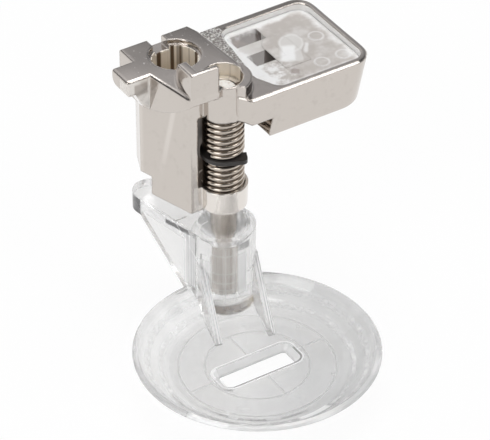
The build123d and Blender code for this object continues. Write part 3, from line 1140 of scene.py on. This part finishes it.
@dataclass
class PresserFoot:
    """The whole foot: welded copies of the rigid nodes, and the two springs between the bodies."""

    nodes: Mapping[str, bpy.types.Object]
    soft_crease: float = 38.0
    turned_crease: float = 30.0
    grooves: tuple[float, ...] = (9.3, 6.4, 4.9, 3.8)
    wire_colour: Colour = (0.64, 0.575, 0.51, 1.0)
    wire_stain: Colour = (0.46, 0.40, 0.34, 1.0)
    wire_roughness: float = 0.13
    web_tip: Point = (-3.9, 19.0, 31.0)
    web_tuck: float = 1.4
    spigot_r: float = 1.1
    proud_share: float = 0.2
    slot_reach: Point = (6.4, 2.75, 1.15)
    slot_corner: float = 1.3
    slot_slack: float = 0.01
    wall_r: Range = (11.8, 15.6)
    wall_middle: Spot = (13.39, 1.75)
    wall_slope: float = 0.55
    rim_beyond: float = 0.5
    rim_lift: float = 0.9
    rim_under: float = 3.6
    post_clear: Range = (6.0, 9.0)

    def rigid(
        self, node: str, body: Body, finish: bpy.types.Material, crease: float
    ) -> bpy.types.Object:
        """Dresses one rigid node.

        Args:
            node: The node's name.
            body: The body that carries it.
            finish: Its material.
            crease: Angle in degrees above which its edges stay sharp.

        Returns:
            The dressed piece.
        """
        piece = welded(self.nodes[node], f"{node}_shell", crease)
        piece.data.materials.append(finish)
        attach(piece, body.value)
        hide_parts(node)
        LOG.info("%s: %d faces", piece.name, len(piece.data.polygons))
        return piece

    def tuck_web(self, points: np.ndarray) -> np.ndarray:
        """Draws the lower tip of the ear's web back under the head, so that it runs into the column.

        Points of the tip move level to the back by a fixed length.

        Args:
            points: The shank's points in metres.

        Returns:
            The moved points.
        """
        x, y, z = points.T / MM
        tip = (x < self.web_tip[0]) & (y < self.web_tip[1]) & (z < self.web_tip[2])
        points[tip, 1] += self.web_tuck * MM
        return points

    def press_in(self, points: np.ndarray) -> np.ndarray:
        """Widens the pin's spigot until it touches the clear wall around it.

        Each point of the spigot moves outwards in its level plane, in the ratio of the wall's radius to its own.

        Args:
            points: The pin's points in metres.

        Returns:
            The moved points.
        """
        centre = np.array(PIN_AXIS) * MM
        low = points[:, 2] < SPIGOT_TOP * MM
        offset = points[low, :2] - centre
        reach = np.hypot(offset[:, 0], offset[:, 1]).max()
        points[low, :2] = centre + offset * self.spigot_r * MM / reach
        return points

    def lower_code(self, points: np.ndarray) -> np.ndarray:
        """Lets the code of the block stand only a little proud.

        Heights above the block's top shrink to a share.

        Args:
            points: The block's points in metres.

        Returns:
            The moved points.
        """
        top = BLOCK_TOP * MM
        proud = points[:, 2] > top
        points[proud, 2] = top + (points[proud, 2] - top) * self.proud_share
        return points

    def narrow_slot(self, points: np.ndarray) -> np.ndarray:
        """Draws the wall and the flare of the needle slot in to the squarer opening that is seen.

        The centre of each rounded corner moves out by what its radius loses. Then level distances from the needle
        shrink by one share along the slot and one across it.

        Args:
            points: The sole's points in metres.

        Returns:
            The moved points.
        """
        x, y, z = points.T / MM
        slot = (np.abs(x) < self.slot_reach[0]) & (np.abs(y) < self.slot_reach[1]) & (z < self.slot_reach[2])
        flat = points[slot, :2] / MM
        inner = np.array(SLOT_HALF) - self.slot_corner
        offset = np.abs(flat) - inner
        corner = (offset > -self.slot_slack).all(axis=1)
        reach = np.hypot(offset[corner, 0], offset[corner, 1])[:, None]
        lost = self.slot_corner - SLOT_ROUND
        offset[corner] = offset[corner] * (reach - lost) / reach + lost
        points[slot, :2] = np.sign(flat) * (offset + inner) * np.array(SLOT_DRAW) * MM
        return points

    def lift_rim(self, points: np.ndarray) -> np.ndarray:
        """Raises the underside of the saucer towards its rim, away from the post.

        The lift grows evenly over the wall's radius, fades near the post, and ends under the rim's upper edge. The
        underside is what lies below a slanted line through the wall's middle.

        Args:
            points: The sole's points in metres.

        Returns:
            The moved points.
        """
        x, y, z = points.T / MM
        radius = np.hypot(x, y)
        from_post = np.hypot(x - PIN_AXIS[0], y - PIN_AXIS[1])
        out = np.interp(radius, self.wall_r, (0.0, 1.0))
        away = np.interp(from_post, self.post_clear, (0.0, 1.0))
        middle = self.wall_middle[1] + self.wall_slope * (radius - self.wall_middle[0])
        under = (z < middle) & (radius < self.wall_r[1] + self.rim_beyond)
        lifted = np.minimum(z + self.rim_lift * out * away, self.rim_under)
        points[:, 2] = np.where(under, np.maximum(z, lifted), z) * MM
        return points

    def build(self) -> None:
        """Builds and dresses every piece."""
        shank = self.rigid("shank", Body.SHANK, NickelPlate().material(), self.soft_crease)
        block = self.rigid("coded_block", Body.SHANK, CodedClear().material(), self.soft_crease)
        sole = self.rigid("sole", Body.SOLE, MarkedSole().material(), self.soft_crease)
        steel = GroundSteel(grooves=self.grooves).material()
        pin = self.rigid("plunger_pin", Body.SOLE, steel, self.turned_crease)
        self.rigid("stop_ring", Body.SOLE, BlackClip().material(), self.turned_crease)
        reshape(shank, self.tuck_web)
        reshape(pin, self.press_in)
        reshape(block, self.lower_code)
        reshape(sole, self.lift_rim)
        reshape(sole, self.narrow_slot)
        wire = GroundSteel(
            name="spring_wire", colour=self.wire_colour, stain_and_shade=self.wire_stain, roughness=self.wire_roughness
        ).material()
        for spring in (
            CoilSpring("upper_coil", "upper_spring", Body.SOLE, Body.SHANK, turns=6.75, closed=0.8, start=3.49),
            CoilSpring("lower_coil", "lower_spring", Body.SHANK, Body.SOLE, turns=6.25, closed=0.9, start=2.2),
        ):
            spring.build(wire)


@dataclass(frozen=True)
class PaleFloor(Finish):
    """Matt floor; what sees it directly gets an even white over its own shade."""

    name: str = "pale_floor"
    matt: Colour = (0.86, 0.86, 0.86, 1.0)
    white: Colour = (1.0, 1.0, 1.0, 1.0)
    shown: float = 0.94

    def shader(self, graph: Graph) -> Shade:
        """Builds the shader.

        Args:
            graph: The material's graph.

        Returns:
            The shader.
        """
        rays = ("Is Camera Ray", "Is Glossy Ray", "Is Transmission Ray")
        direct, mirrored, refracted = (graph.node("ShaderNodeLightPath", output=ray) for ray in rays)
        seen = (direct | mirrored | refracted) * self.shown
        matte = graph.node("ShaderNodeBsdfDiffuse", None, {"Color": self.matt})
        glow = graph.node("ShaderNodeEmission", None, {"Color": self.white, "Strength": 1.0})
        return graph.node("ShaderNodeMixShader", None, {0: seen, 1: matte, 2: glow})


class Softbox(NamedTuple):
    """One rectangular lamp: its name, centre and size in metres, and its power."""

    name: str
    place: Point
    size: Range
    watts: float


@dataclass(frozen=True)
class Studio:
    """Pale floor, soft light and the camera of the photograph."""

    image: tuple[int, int] = (490, 440)
    focal_px: float = 3450.0
    sensor: float = 36.0
    clip: Range = (0.01, 20.0)
    eye: Point = (-183.641 * MM, -284.252 * MM, 282.109 * MM)
    right: Point = (0.84245, -0.53877, 0.0)
    up: Point = (0.32649, 0.51051, 0.79547)
    floor_half: float = 3.0
    floor_z: float = -1.6 * MM
    white: Colour = (1.0, 1.0, 1.0, 1.0)
    wall: Colour = (0.95, 0.95, 0.95, 1.0)
    wall_fades: Range = (0.02, 0.22)
    panel: Colour = (0.92, 0.92, 0.94, 1.0)
    panel_at: Point = (0.0, 0.68, 0.733)
    panel_degrees: Range = (34.0, 13.0)
    back_flat: Spot = (-0.53877, -0.84245)
    ceiling: tuple[tuple[float, Colour], ...] = (
        (0.0, (0.30, 0.305, 0.32, 1.0)),
        (0.20, (0.14, 0.14, 0.15, 1.0)),
        (0.50, (0.06, 0.06, 0.06, 1.0)),
        (0.75, (0.05, 0.05, 0.05, 1.0)),
        (1.0, (0.25, 0.25, 0.25, 1.0)),
    )
    aim: Point = (4 * MM, 12 * MM, 18 * MM)
    lamps: tuple[Softbox, ...] = (
        Softbox("left_softbox", (-0.62, -0.20, 0.42), (0.40, 0.50), 1.8),
        Softbox("right_softbox", (0.40, -0.55, 0.62), (0.34, 0.34), 1.4),
        Softbox("top_softbox", (0.15, 0.10, 0.92), (0.7, 0.7), 6.0),
    )

    def camera(self) -> None:
        """Sets the camera from its axes and focal length in pixels."""
        right, up = Vector(self.right), Vector(self.up)
        turn = Matrix((right, up, right.cross(up))).transposed().to_4x4()
        data = bpy.data.cameras.new("photo_camera")
        data.sensor_fit, data.sensor_width = "HORIZONTAL", self.sensor
        data.lens = self.focal_px / self.image[0] * self.sensor
        data.clip_start, data.clip_end = self.clip
        camera = bpy.data.objects.new("photo_camera", data)
        camera.matrix_world = Matrix.Translation(self.eye) @ turn
        bpy.context.scene.collection.objects.link(camera)
        bpy.context.scene.camera = camera

    def floor(self) -> None:
        """Lays the pale floor."""
        ends = np.array([-self.floor_half, self.floor_half])
        x, y = np.meshgrid(ends, ends)
        floor = link("floor", grid_mesh("floor", np.stack([x, y, np.full_like(x, self.floor_z)], axis=-1)))
        floor.data.materials.append(PaleFloor().material())

    def world(self) -> None:
        """Room light: white low down, a grey ceiling behind the object, and white where the camera looks past it."""
        world = bpy.data.worlds.new("studio_room")
        bpy.context.scene.world = world
        world.use_nodes = True
        graph = Graph(world.node_tree)
        ray = graph.node("ShaderNodeTexCoord", output="Generated")
        x, y, rise = (graph.node("ShaderNodeSeparateXYZ", None, {0: ray}, axis) for axis in "XYZ")
        towards = self.back_flat[0] * x + self.back_flat[1] * y
        ceiling = graph.node("ShaderNodeValToRGB", {"stops": self.ceiling}, {"Fac": towards * 0.5 + 0.5})
        facing = graph.node("ShaderNodeVectorMath", {"operation": "DOT_PRODUCT"}, {0: ray, 1: self.panel_at}, 1)
        outer, inner = (math.cos(math.radians(angle)) for angle in self.panel_degrees)
        high_tone = graph.mix(facing.ease((outer, inner)), ceiling, self.panel)
        high, low, white = (
            graph.node("ShaderNodeBackground", None, {"Color": tone, "Strength": 1.0})
            for tone in (high_tone, self.wall, self.white)
        )
        room = graph.node("ShaderNodeMixShader", None, {0: rise.ease(self.wall_fades), 1: low, 2: high})
        direct = graph.node("ShaderNodeLightPath", output="Is Camera Ray")
        through = graph.node("ShaderNodeLightPath", output="Transmission Depth") > 0.5
        both = graph.node("ShaderNodeMixShader", None, {0: direct | through, 1: room, 2: white})
        graph.node("ShaderNodeOutputWorld", None, {"Surface": both})

    def hang(self, softbox: Softbox) -> None:
        """Hangs one lamp so that it faces the foot.

        Args:
            softbox: The lamp.
        """
        data = bpy.data.lights.new(softbox.name, "AREA")
        data.shape, data.energy = "RECTANGLE", softbox.watts
        data.size, data.size_y = softbox.size
        lamp = bpy.data.objects.new(softbox.name, data)
        lamp.location = softbox.place
        lamp.rotation_euler = (Vector(self.aim) - Vector(softbox.place)).to_track_quat("-Z", "Y").to_euler()
        bpy.context.scene.collection.objects.link(lamp)

    def build(self) -> None:
        """Sets up the whole studio."""
        bpy.context.scene.view_settings.view_transform = "Standard"
        self.camera()
        self.floor()
        self.world()
        for softbox in self.lamps:
            self.hang(softbox)


def main() -> None:
    """Builds the foot and its studio."""
    logging.basicConfig(level=logging.INFO, format="%(name)s: %(message)s")
    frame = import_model()
    PresserFoot(frame["nodes"]).build()
    Studio().build()


if __name__ == "__main__":
    main()
